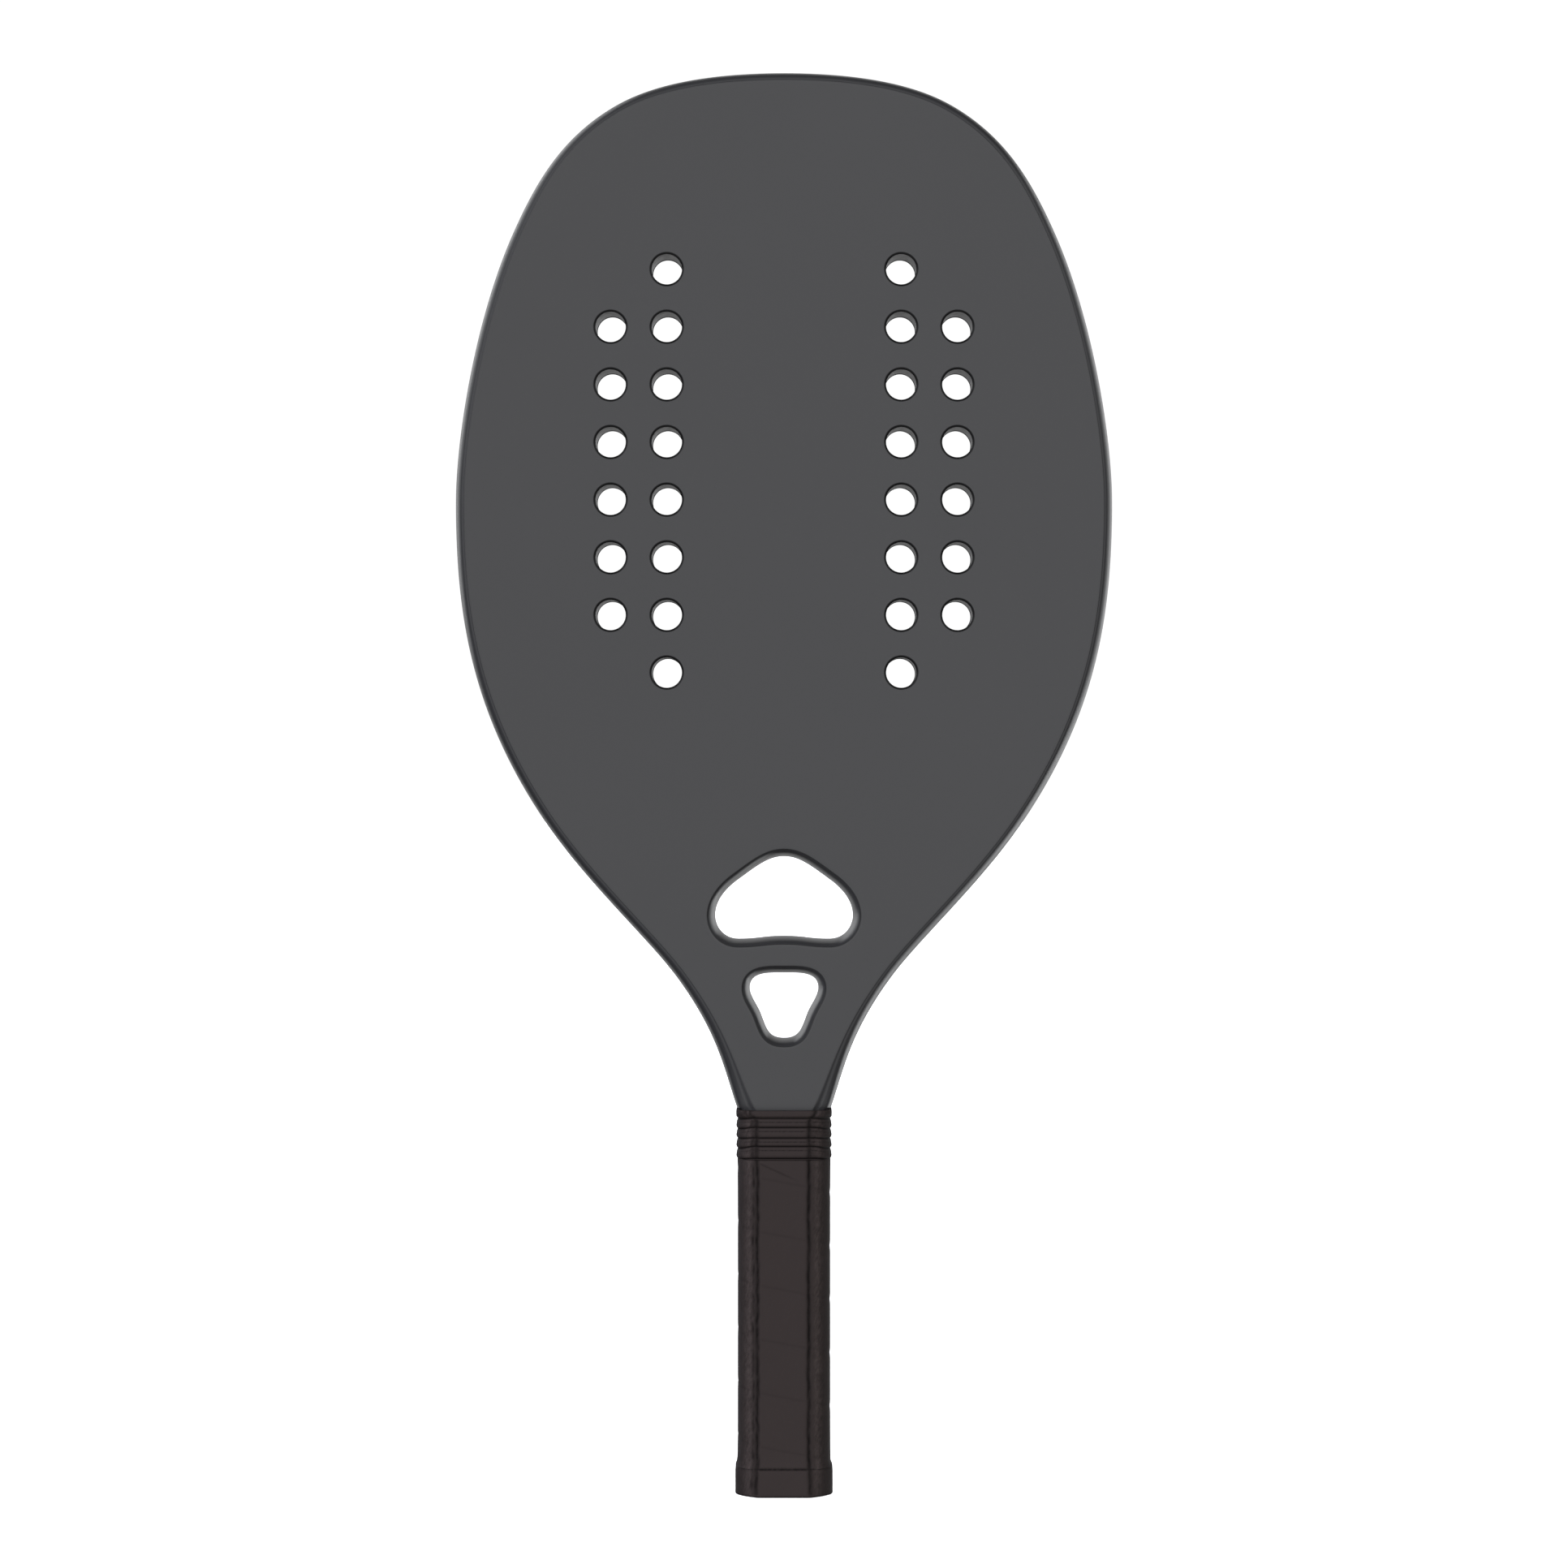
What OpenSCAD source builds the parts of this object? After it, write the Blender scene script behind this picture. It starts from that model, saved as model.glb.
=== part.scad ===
// Beach tennis racket: foam-cored head with 28 air holes, two throat openings and a wrapped octagonal handle.
// X is the width, -Y is the front face, +Z runs from the butt to the tip of the head. Millimetres.
// The origin is the centre of the butt's end.

/* [Head] */
// Height of the neck, where the head leaves the collar
neck_z = 136; // [126:1:146]
// Length of the head from the neck to its tip
head_l = 364; // [340:1:380]
// Width of the head at its widest
head_w = 231.2; // [215:0.1:245]
// Thickness of the head from face to face
head_t = 22; // [21:0.5:23]
// Thickness of each face skin
skin_t = 0.6; // [0.5:0.1:0.9]

/* [Air holes] */
// Radius of each air hole
hole_r = 5.5; // [4:0.1:6.5]
// Distance between neighbouring rows of holes
row_pitch = 20.2; // [16:0.1:22]
// Height of the top row above the neck
top_row = 294.2; // [280:0.1:310]
// Rows in each inner column
rows = 8; // [6:1:9]
// Distance of the inner columns from the middle
inner_col = 41.1; // [30:0.1:45]
// Distance of the outer columns from the middle
outer_col = 60.8; // [58:0.1:70]

/* [Throat] */
// Radius of the yoke's underside, an arch that closes the head
yoke_r = 150; // [140:1:170]
// Height of the lowest point of the yoke above the neck
yoke_z = 96.5; // [96:0.5:104]
// Width of the yoke
yoke_w = 7; // [5:0.5:9]
// Width of the ring round each throat opening
ring_w = 4; // [3.5:0.1:4.4]
// How far a ring's rounded nose stands clear of the skins' edge
nose_w = 2.1; // [1.5:0.1:2.5]

/* [Grip] */
// Width of the octagonal grip
grip_w = 32.2; // [31.6:0.1:34]
// Depth of the grip from front to rear
grip_d = 28; // [27:0.1:30]
// Width of the grip's front and rear flats
grip_flat = 17.6; // [16.6:0.1:18.4]
// Depth of the grip's two side flats
grip_side = 9.8; // [9:0.1:11]
// Thickness of the wrapped grip
grip_t = 2; // [1.6:0.1:2]

/* [Collar and butt] */
// Height of the rubber collar
collar_h = 17.8; // [16.5:0.1:19]
// Distance from one collar rib to the next
rib_pitch = 3.43; // [3.2:0.01:3.6]
// Height of the butt cap's flange
flange_h = 11.2; // [9:0.1:13]
// How far the flange stands out past the grip
flange_out = 1.05; // [0.6:0.05:1.5]
// Height of the cap's skirt, which the grip covers
skirt_z = 30; // [24:1:40]

/* [Hidden] */

half_t = head_t / 2;
core_y = half_t - skin_t;   // faces of everything that lies under the skins
steps = 12;                 // facets in each span of the head's outline
ring_steps = 14;            // facets in each span of an opening's outline
eps = 1;                    // overrun of a cutting body
widest = 115.6;             // half width that HEAD is drawn at
tall = 364;                 // head length that HEAD is drawn at

// Outlines. A station is [x, height above the neck, heading, handle length before it, handle length after it].
// They run clockwise down the right-hand side, and the left-hand side mirrors them.
HEAD = [
    [0, 364, 0, 0, 38.5],
    [61, 351.5, -31.5, 8, 21.5],
    [95.5, 307.5, -66, 18.5, 32.5],
    [115.6, 213, -90, 22.5, 38],
    [84.5, 101, -124, 47, 26.5],
    [38, 46, -126.5, 16.5, 25],
    [16.6, 0, -109, 14, 0]
];
UPPER_OPENING = [
    [0, 88.5, 0, 0, 5.5],
    [16, 80.5, -36, 8, 2],
    [24.5, 67.5, -90, 7, 4],
    [16, 59, 180, 5.5, 7.5],
    [0, 60, 180, 7.5, 0]
];
LOWER_OPENING = [
    [0, 47.5, 0, 0, 5],
    [12.3, 42, -90, 6, 3],
    [8.5, 33, -112, 3.5, 5.5],
    [0, 24, 180, 6, 0]
];

// Sections of the frame tube: [inset from the outline, half depth], from the outer flank to the inner edge.
// The last two points are the rebate that a skin lies in.
HEAD_SECTION = [[0, 6.5], [0.45, 9.2], [1.5, half_t - 0.25], [2.7, half_t], [2.7, core_y], [10, core_y]];
NECK_SECTION = [[0, 4.5], [0.5, 6.5], [2, 8.8], [5.8, half_t], [5.8, core_y], [8.8, core_y]];
LEG_SECTION = [[0, 4.5], [1.2, 6.2], [2.7, 7.8], [3.6, 8.8], [3.6, 8.2], [8.8, 8.2]];
// Sections of the hollow inside it
HEAD_BORE = [[1.1, 6], [2.3, 9.3], [8.9, 9.3]];
NECK_BORE = [[1.1, 4.2], [3.2, 8.4], [7.7, 9.3]];
LEG_BORE = [[1.1, 4.2], [3, 7], [7.7, 7.1]];
blend_from = 64;            // height above the neck where the head's section starts to change
seat_step = 1.2;            // depth of the seat that the collar sits in
collar_top = neck_z - 0.6;
leg_x = 12.3;               // outer face of each leg inside the handle
leg_top = neck_z - 15;      // from here down the legs are straight
floor_z = 3;                // inside of the butt cap's floor
pallet_top = neck_z - 16;

function lerp(a, b, t) = a + (b - a) * t;
function dir(h) = [cos(h), sin(h)];
function bez(p, t) = pow(1 - t, 3) * p[0] + 3 * pow(1 - t, 2) * t * p[1] + 3 * (1 - t) * t * t * p[2] + pow(t, 3) * p[3];
function slope(p, t) = pow(1 - t, 2) * (p[1] - p[0]) + 2 * (1 - t) * t * (p[2] - p[1]) + t * t * (p[3] - p[2]);
function stretch(p, k) = [p[0] * k[0], p[1] * k[1]];
// Bezier control points of the span between two stations
function span(s, e) = [
    [s[0], s[1]],
    [s[0], s[1]] + s[4] * dir(s[2]),
    [e[0], e[1]] - e[3] * dir(e[2]),
    [e[0], e[1]]
];
// A point and its outward normal, as [x, z, nx, nz]
function foot(p, t, k) =
    let (at = stretch(bez(p, t), k), run = stretch(slope(p, t), k), n = [-run[1], run[0]] / norm(run))
    [at[0], at[1] + neck_z, n[0], n[1]];
// One side of an outline, from the top down
function side(stations, n, k = [1, 1]) = [
    for (i = [0:len(stations) - 2], j = [0:(i == len(stations) - 2 ? n : n - 1)])
        foot(span(stations[i], stations[i + 1]), j / n, k)
];
// The same side mirrored, from the bottom up, without its two ends on the middle line
function mirrored(half) = [for (i = [len(half) - 2:-1:1]) [-half[i][0], half[i][1], -half[i][2], half[i][3]]];
function loop(stations, n) = let (half = side(stations, n)) concat(half, mirrored(half));
// Moves each point of an outline along its normal
function shifted(points, d) = [for (p = points) [p[0] + d * p[2], p[1] + d * p[3]]];

// The frame's path: [x, z, nx, nz, section], where section 0 is the head's, 1 the neck's and 2 the leg's
function shape_at(z) = pow(max(0, neck_z + blend_from - z) / blend_from, 3);
HEAD_SIDE = side(HEAD, steps, [head_w / 2 / widest, head_l / tall]);
NECK_SIDE = [
    [HEAD_SIDE[len(HEAD_SIDE) - 1][0] - seat_step, neck_z - 0.7, 1, 0, 1],
    [HEAD_SIDE[len(HEAD_SIDE) - 1][0] - seat_step, neck_z - 9, 1, 0, 1],
    [leg_x, leg_top, 1, 0, 2],
    [leg_x, floor_z, 1, 0, 2]
];
FRAME_SIDE = concat([for (p = HEAD_SIDE) [p[0], p[1], p[2], p[3], shape_at(p[1])]], NECK_SIDE);
FRAME_PATH = concat(
    [for (i = [len(FRAME_SIDE) - 1:-1:1]) let (p = FRAME_SIDE[i]) [-p[0], p[1], -p[2], p[3], p[4]]],
    FRAME_SIDE
);

function blended(list, b) = [
    for (i = [0:len(list[0]) - 1])
        b <= 1 ? lerp(list[0][i], list[1][i], b) : lerp(list[1][i], list[2][i], b - 1)
];
function outer_section(b) = blended([HEAD_SECTION, NECK_SECTION, LEG_SECTION], b);
function bore_section(b) = blended([HEAD_BORE, NECK_BORE, LEG_BORE], b);
// A closed section from its front half: front points outside in, then rear points inside out
function closed(half) = concat(
    [for (q = half) [q[0], -q[1]]],
    [for (i = [len(half) - 1:-1:0]) half[i]]
);
function ring_at(p, section) = [for (q = closed(section)) [p[0] - q[0] * p[2], q[1], p[1] - q[0] * p[3]]];

// Distance from the frame's outline to the skins' edge, and to the tube's inner edge
function skin_edge(p) = outer_section(p[4])[3][0];
function tube_edge(p) = outer_section(p[4])[5][0];
// The skins end at the collar's top
SKIN_SIDE = concat(
    [for (i = [0:len(HEAD_SIDE) - 1]) let (p = FRAME_SIDE[i]) [p[0] - skin_edge(p) * p[2], p[1] - skin_edge(p) * p[3]]],
    [[NECK_SIDE[0][0] - skin_edge(NECK_SIDE[0]), collar_top]]
);
INNER_SIDE = [for (p = FRAME_SIDE) [p[0] - tube_edge(p) * p[2], p[1] - tube_edge(p) * p[3]]];
function both_sides(half) = concat(half, [for (i = [len(half) - 1:-1:1]) [-half[i][0], half[i][1]]]);

// Octagon of the grip, moved inwards by t
bevel_run = [grip_w - grip_flat, grip_side - grip_d] / 2;
bevel_n = [-bevel_run[1], bevel_run[0]] / norm(bevel_run);
bevel_c = bevel_n * [grip_flat / 2, grip_d / 2];
function corner_a(t) = [(bevel_c - t - bevel_n[1] * (grip_d / 2 - t)) / bevel_n[0], grip_d / 2 - t];
function corner_b(t) = [grip_w / 2 - t, (bevel_c - t - bevel_n[0] * (grip_w / 2 - t)) / bevel_n[1]];
function octagon(t) = let (a = corner_a(t), b = corner_b(t)) [
    a, b, [b[0], -b[1]], [a[0], -a[1]], [-a[0], -a[1]], [-b[0], -b[1]], [-b[0], b[1]], [-a[0], a[1]]
];

// A flat piece in the X-Z plane, from depth y0 to depth y1
module plate(points, y0, y1) {
    rotate([90, 0, 0])
        translate([0, 0, -y1])
            linear_extrude(y1 - y0)
                polygon(points);
}

// A prism with the grip's octagon, moved inwards by t
module octagon_prism(t, z0, z1) {
    translate([0, 0, z0])
        linear_extrude(z1 - z0)
            polygon(octagon(t));
}

// A rod across the head's thickness
module crosswise(r, x, z, y0, y1) {
    translate([x, y1, z])
        rotate([90, 0, 0])
            cylinder(r = r, h = y1 - y0, $fn = 64);
}

// A solid sweep of closed rings, all with the same number of points, joined end to end
module swept_loop(rings) {
    m = len(rings[0]);
    n = len(rings);
    polyhedron(
        points = [for (r = rings) each r],
        faces = [
            for (i = [0:n - 1], j = [0:m - 1])
                let (a = i * m, b = (i + 1) % n * m, k = (j + 1) % m)
                each [[a + j, b + j, b + k], [a + j, b + k, a + k]]
        ]
    );
}

// Side wall of a tube from ring to ring, as triangles that face outwards or, for a bore, inwards
function wall(start, m, n, inwards) = [
    for (i = [0:n - 2], j = [0:m - 1])
        let (a = start + i * m, b = a + m, k = (j + 1) % m)
        each inwards
            ? [[a + j, b + k, b + j], [a + j, a + k, b + k]]
            : [[a + j, b + j, b + k], [a + j, b + k, a + k]]
];
// End face of a hollow tube: each point of the bore meets two points of the outer ring
function end_face(a, b, m, far) = [
    for (k = [0:m - 1])
        let (o = a + 2 * k, p = a + (2 * k + 2) % (2 * m), i = b + k, q = b + (k + 1) % m)
        each far
            ? [[o, i, o + 1], [o + 1, i, p], [p, i, q]]
            : [[o, o + 1, i], [o + 1, p, i], [p, q, i]]
];

// Hollow carbon tube: round the head, down both sides of the throat and into the handle
module frame_tube() {
    n = len(FRAME_PATH);
    outer = [for (p = FRAME_PATH) each ring_at(p, outer_section(p[4]))];
    bore = [for (p = FRAME_PATH) each ring_at(p, bore_section(p[4]))];
    start = len(outer);
    color([0.31, 0.31, 0.32])
        polyhedron(
            points = concat(outer, bore),
            faces = concat(
                wall(0, 12, n, false),
                wall(start, 6, n, true),
                end_face(0, start, 6, false),
                end_face(start - 12, start + 6 * (n - 1), 6, true)
            )
        );
}

// Everything inside the frame tube, at the thickness of the parts under the skins
module inside_frame() {
    plate(both_sides(INNER_SIDE), -core_y, core_y);
}

// Disc whose lower edge is an arch of the yoke
module above_arch(r) {
    crosswise(r, 0, neck_z + yoke_z + yoke_r, -half_t - eps, half_t + eps);
}

// Carbon strip across the frame that closes the head below the foam
module head_yoke() {
    color([0.2, 0.2, 0.21])
        intersection() {
            inside_frame();
            difference() {
                above_arch(yoke_r);
                above_arch(yoke_r - yoke_w);
            }
            plate(
                [[-head_w, 0], [head_w, 0], [head_w, neck_z + yoke_z + yoke_r / 2], [-head_w, neck_z + yoke_z + yoke_r / 2]],
                -half_t, half_t
            );
        }
}

// Section of the ring round an opening: [distance from the clear opening, half depth], inner nose to outer wall
RING_SECTION = [
    [0, 5], [0.35, 8], [1.1, half_t - 1], [nose_w, half_t - 0.1], [nose_w, core_y], [ring_w, core_y]
];
function ring_rings(stations) = [
    for (p = loop(stations, ring_steps))
        [for (q = closed(RING_SECTION)) [p[0] + q[0] * p[2], q[1], p[1] + q[0] * p[3]]]
];

// Carbon rings with rounded noses that line the two throat openings
module throat_ring(stations) {
    color([0.31, 0.31, 0.32])
        mirror([0, 1, 0])
            swept_loop(ring_rings(stations));
}
module upper_throat_ring() {
    throat_ring(UPPER_OPENING);
}
module lower_throat_ring() {
    throat_ring(LOWER_OPENING);
}

// Outline of an opening, grown by d
function opening(stations, d) = shifted(loop(stations, ring_steps), d);

// Foam filler of the throat, round the two rings and down between the legs
module throat_core() {
    color([0.75, 0.73, 0.66])
        difference() {
            inside_frame();
            above_arch(yoke_r);
            plate(
                [[-head_w, neck_z + head_l / 2], [head_w, neck_z + head_l / 2], [head_w, 2 * head_l], [-head_w, 2 * head_l]],
                -half_t, half_t
            );
            plate(opening(UPPER_OPENING, ring_w), -half_t, half_t);
            plate(opening(LOWER_OPENING, ring_w), -half_t, half_t);
            translate([-head_w, -head_w, 0])
                cube([2 * head_w, 2 * head_w, pallet_top]);
        }
}

// Air holes, from depth y0 to depth y1: the outer columns leave out the first and last rows
module air_holes(y0, y1) {
    for (side = [-1, 1], i = [0:rows - 1]) {
        crosswise(hole_r, side * inner_col, neck_z + top_row - i * row_pitch, y0, y1);
        if (i > 0 && i < rows - 1)
            crosswise(hole_r, side * outer_col, neck_z + top_row - i * row_pitch, y0, y1);
    }
}

// Soft foam that fills the head, drilled through with the air holes
module eva_core() {
    color([0.24, 0.24, 0.25])
        difference() {
            intersection() {
                inside_frame();
                above_arch(yoke_r - yoke_w);
            }
            air_holes(-half_t - eps, half_t + eps);
        }
}

// Face skin between two depths, cut out at the air holes and the throat openings
module face_skin(y0, y1) {
    color([0.31, 0.31, 0.32])
        difference() {
            plate(both_sides(SKIN_SIDE), y0, y1);
            air_holes(y0 - eps, y1 + eps);
            plate(opening(UPPER_OPENING, nose_w), y0 - eps, y1 + eps);
            plate(opening(LOWER_OPENING, nose_w), y0 - eps, y1 + eps);
        }
}
module face_front() {
    face_skin(-half_t, -core_y);
}
module face_rear() {
    face_skin(core_y, half_t);
}

// A leg of the frame inside the handle, as a solid prism
module leg_prism(section, side, z0, z1) {
    translate([0, 0, z0])
        linear_extrude(z1 - z0)
            polygon([for (q = closed(section)) [side * (leg_x - q[0]), q[1]]]);
}

skirt_t = 1.2;              // wall of the cap's skirt
wire = 0.5;                 // thickness of a staple
staple_w = 8;
staple_l = 6;
staple_z = 22;

// One staple that holds the cap to the handle, driven in from the front or the rear
module staple(side) {
    y = side * (grip_d / 2 - grip_t - wire / 2);
    translate([0, y, staple_z])
        cube([staple_w, wire, wire], center = true);
    for (x = [-1, 1])
        translate([x * (staple_w - wire) / 2, y - side * (staple_l + wire) / 2, staple_z])
            cube([wire, staple_l, wire], center = true);
}
module staple_front() {
    color([0.7, 0.7, 0.72])
        staple(-1);
}
module staple_rear() {
    color([0.7, 0.7, 0.72])
        staple(1);
}

// One half of the foam that builds the handle up to an octagon, with channels for the legs
module handle_pallet(side) {
    color([0.82, 0.78, 0.68])
        difference() {
            union() {
                octagon_prism(grip_t, skirt_z, pallet_top);
                octagon_prism(grip_t + skirt_t, floor_z, skirt_z);
            }
            translate([-grip_w, side > 0 ? -2 * grip_w : 0, 0])
                cube([2 * grip_w, 2 * grip_w, neck_z]);
            for (hand = [-1, 1])
                leg_prism(LEG_SECTION, hand, floor_z - eps, neck_z);
            staple(side);
        }
}
module handle_pallet_front() {
    handle_pallet(-1);
}
module handle_pallet_rear() {
    handle_pallet(1);
}

plug_l = 8;
// Foam plug that closes a leg's lower end
module tube_plug(hand) {
    color([0.1, 0.1, 0.1])
        leg_prism(LEG_BORE, hand, floor_z, floor_z + plug_l);
}
module tube_plug_left() {
    tube_plug(-1);
}
module tube_plug_right() {
    tube_plug(1);
}

seal_r = 10;
seal_t = 1.1;
seal_in = 0.2;              // how deep the seal lies below the cap's end face
window_r = 7;
flange_steps = 4;           // layers of the flange's sloping top
slope_h = 3.6;              // height of the flange's sloping top
end_round = 0.8;            // rounding of the end's edge

// Cap over the handle's end: floor, flange with a sloping top, and the skirt under the grip
module butt_cap() {
    color([0.23, 0.2, 0.195])
        difference() {
            union() {
                octagon_prism(end_round - flange_out, 0, end_round / 2);
                octagon_prism(end_round / 3 - flange_out, end_round / 2, end_round);
                octagon_prism(-flange_out, end_round, flange_h - slope_h);
                for (i = [0:flange_steps - 1])
                    octagon_prism(
                        -flange_out * cos(90 * (i + 1) / (flange_steps + 1)),
                        flange_h - slope_h + i * slope_h / flange_steps,
                        flange_h - slope_h + (i + 1) * slope_h / flange_steps
                    );
                octagon_prism(grip_t, flange_h, skirt_z);
            }
            octagon_prism(grip_t + skirt_t, floor_z, skirt_z + eps);
            translate([0, 0, -eps])
                cylinder(r = window_r, h = floor_z + 2 * eps, $fn = 64);
            translate([0, 0, -eps])
                cylinder(r = seal_r, h = eps + seal_in + seal_t, $fn = 96);
            staple(-1);
            staple(1);
        }
}

// Blank disc that closes the window in the cap's floor
module butt_seal() {
    color([0.2, 0.18, 0.17])
        translate([0, 0, seal_in])
            cylinder(r = seal_r - 0.1, h = seal_t, $fn = 96);
}

collar_z = collar_top - collar_h;
thin_t = 1.2;               // how much thinner the grip is under the collar
tape_t = 0.25;

// Grip wound round the pallets, from the flange to just inside the collar, where it thins out
module grip_wrap() {
    color([0.235, 0.205, 0.2])
        difference() {
            union() {
                octagon_prism(0, flange_h, collar_z);
                octagon_prism(thin_t, collar_z, pallet_top);
            }
            octagon_prism(grip_t, 0, neck_z);
        }
}

// Tape round the thin end of the grip, hidden by the collar
module finishing_tape() {
    color([0.08, 0.08, 0.08])
        difference() {
            octagon_prism(thin_t - tape_t, collar_z + 0.2, pallet_top);
            octagon_prism(thin_t, 0, neck_z);
        }
}

flange_top_h = 3.2;         // height of the collar's plain top band
rib_out = 0.54;             // how far a rib stands out past the grip
groove_out = 0.21;          // how far a groove's bottom stands out past the grip
band_out = 0.79;            // how far the top band stands out past the grip
rib_h = 2.2;
ribs = 4;
seat_gap = 0.1;

// A quarter of the neck's outline inside the collar, as [x, y], with the step down to where the skins would be
function neck_hole() = let (x = NECK_SIDE[0][0], s = NECK_SECTION) concat(
    [for (i = [0:3]) [x - s[i][0] + seat_gap, s[i][1] + seat_gap]],
    [[x - s[4][0] - seat_gap, half_t + seat_gap], [x - s[4][0] - seat_gap, core_y + seat_gap]]
);
function four_ways(q) = concat(
    q,
    [for (i = [len(q) - 1:-1:0]) [-q[i][0], q[i][1]]],
    [for (p = q) [-p[0], -p[1]]],
    [for (i = [len(q) - 1:-1:0]) [q[i][0], -q[i][1]]]
);

// Ribbed rubber collar over the top of the grip and the neck
module grip_collar() {
    color([0.22, 0.19, 0.185])
        difference() {
            union() {
                octagon_prism(-groove_out, collar_z, collar_z + collar_h);
                octagon_prism(-band_out, collar_z + collar_h - flange_top_h, collar_z + collar_h);
                for (i = [0:ribs - 1])
                    octagon_prism(
                        -rib_out,
                        collar_z + (rib_pitch - rib_h) / 2 + i * rib_pitch,
                        collar_z + (rib_pitch + rib_h) / 2 + i * rib_pitch
                    );
            }
            octagon_prism(thin_t - tape_t, 0, leg_top);
            translate([0, 0, pallet_top])
                linear_extrude(neck_z)
                    polygon(four_ways(neck_hole()));
        }
}

frame_tube();
head_yoke();
upper_throat_ring();
lower_throat_ring();
throat_core();
eva_core();
face_front();
face_rear();
handle_pallet_front();
handle_pallet_rear();
tube_plug_left();
tube_plug_right();
butt_cap();
butt_seal();
staple_front();
staple_rear();
grip_wrap();
finishing_tape();
grip_collar();
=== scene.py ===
"""Looks of a beach tennis racket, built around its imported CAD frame."""
import math

import bmesh
import bpy
import numpy as np
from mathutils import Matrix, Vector
from mathutils.geometry import delaunay_2d_cdt


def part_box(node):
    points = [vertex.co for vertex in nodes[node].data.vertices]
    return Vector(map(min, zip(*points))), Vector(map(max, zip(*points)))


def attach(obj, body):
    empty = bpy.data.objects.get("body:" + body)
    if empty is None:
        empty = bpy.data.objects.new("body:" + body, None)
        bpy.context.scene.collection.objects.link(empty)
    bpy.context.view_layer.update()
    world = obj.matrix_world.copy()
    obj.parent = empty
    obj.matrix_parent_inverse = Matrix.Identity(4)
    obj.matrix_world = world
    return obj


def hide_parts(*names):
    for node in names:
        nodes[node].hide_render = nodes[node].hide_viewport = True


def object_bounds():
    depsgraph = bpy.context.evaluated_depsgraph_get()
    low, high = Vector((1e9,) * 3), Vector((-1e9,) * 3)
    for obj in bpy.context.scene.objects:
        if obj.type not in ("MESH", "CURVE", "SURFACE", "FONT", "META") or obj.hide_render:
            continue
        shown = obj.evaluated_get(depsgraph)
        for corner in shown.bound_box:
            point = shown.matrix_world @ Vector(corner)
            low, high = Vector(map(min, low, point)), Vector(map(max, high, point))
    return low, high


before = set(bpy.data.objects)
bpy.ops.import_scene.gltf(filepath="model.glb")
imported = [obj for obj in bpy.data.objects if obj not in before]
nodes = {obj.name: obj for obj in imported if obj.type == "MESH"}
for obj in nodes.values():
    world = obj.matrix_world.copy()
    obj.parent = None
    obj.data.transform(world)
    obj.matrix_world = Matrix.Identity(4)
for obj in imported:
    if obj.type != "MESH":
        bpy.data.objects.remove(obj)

cad_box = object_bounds()
MM = 0.001
FRONT, REAR = -1, 1

# ---------------------------------------------- shapes read from the CAD frame, in millimetres


def box_mm(name):
    low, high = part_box(name)
    return np.array(low) / MM, np.array(high) / MM


def cad_faces(name):
    """Corner points and normal of every polygon of a CAD node."""
    mesh = nodes[name].data
    points = np.array([v.co for v in mesh.vertices]) / MM
    return [(points[list(p.vertices)], np.array(p.normal)) for p in mesh.polygons]


PER_MM = 100  # corners are matched to a hundredth of a millimetre
UPRIGHT = 0.3  # the most that the normal of an upright face leans to the front or rear


def place_key(corner):
    return tuple(np.round(corner[[0, 2]] * PER_MM).astype(int))


def flank_points(name, reach, outwards):
    """(x, z, half depth) of the corners of the upright faces that cross the middle plane, lie within reach of
    it and pass outwards."""
    found = {}
    for corners, normal in cad_faces(name):
        y = corners[:, 1]
        if abs(normal[1]) < UPRIGHT and y.min() < -1 and y.max() > 1 and abs(y).max() < reach:
            if outwards(corners.mean(axis=0), normal):
                for c in corners:
                    found[place_key(c)] = (c[0], c[2], abs(c[1]))
    return np.array(list(found.values()))


def plane_loops(name, y):
    """Outlines of a CAD node's flat face at depth y, each a closed list of (x, z), the tallest first."""
    edges = set()
    for corners, _ in cad_faces(name):
        if abs(corners[:, 1] - y).max() < 0.5 / PER_MM:
            keys = [place_key(c) for c in corners]
            for a, b in zip(keys, keys[1:] + keys[:1]):
                edges ^= {(b, a)} if (b, a) in edges else {(a, b)}
    after = dict(edges)
    loops = []
    while after:
        at = next(iter(after))
        loop = []
        while at in after:
            loop.append(at)
            at = after.pop(at)
        loops.append(np.array(loop) / PER_MM)
    return sorted(loops, key=lambda q: -np.ptp(q[:, 1]))


def circle_of(loop):
    """Centre and radius of a round hole."""
    centre = (loop.min(axis=0) + loop.max(axis=0)) / 2
    return centre, np.linalg.norm(loop - centre, axis=1).max()


# ---------------------------------------------- smooth curves


def resample(points, spans, closed=False):
    """Points of the cubic spline through points, spans to each interval. Columns past the second go along."""
    p = np.vstack([points, points[:1]]) if closed else np.array(points, float)
    t = np.concatenate([[0], np.cumsum(np.linalg.norm(np.diff(p[:, :2], axis=0), axis=1))])
    h, n = np.diff(t), len(t)
    a, b = np.eye(n), np.zeros((n, p.shape[1]))
    slope = np.diff(p, axis=0) / h[:, None]
    for i in range(1, n - 1):
        a[i, i - 1 : i + 2] = h[i - 1], 2 * (h[i - 1] + h[i]), h[i]
        b[i] = 6 * (slope[i] - slope[i - 1])
    if closed:
        a[0, :2] = 2 * (h[0] + h[-1]), h[0]
        a[0, n - 2] += h[-1]
        b[0] = 6 * (slope[0] - slope[-1])
        a[n - 1, 0] = -1
    m = np.linalg.solve(a, b)
    out = []
    for i in range(n - 1):
        for u in np.arange(spans) / spans:
            v = 1 - u
            out.append(v * p[i] + u * p[i + 1] + ((v**3 - v) * m[i] + (u**3 - u) * m[i + 1]) * h[i] ** 2 / 6)
    return np.array(out if closed else out + [p[-1]])


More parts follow.
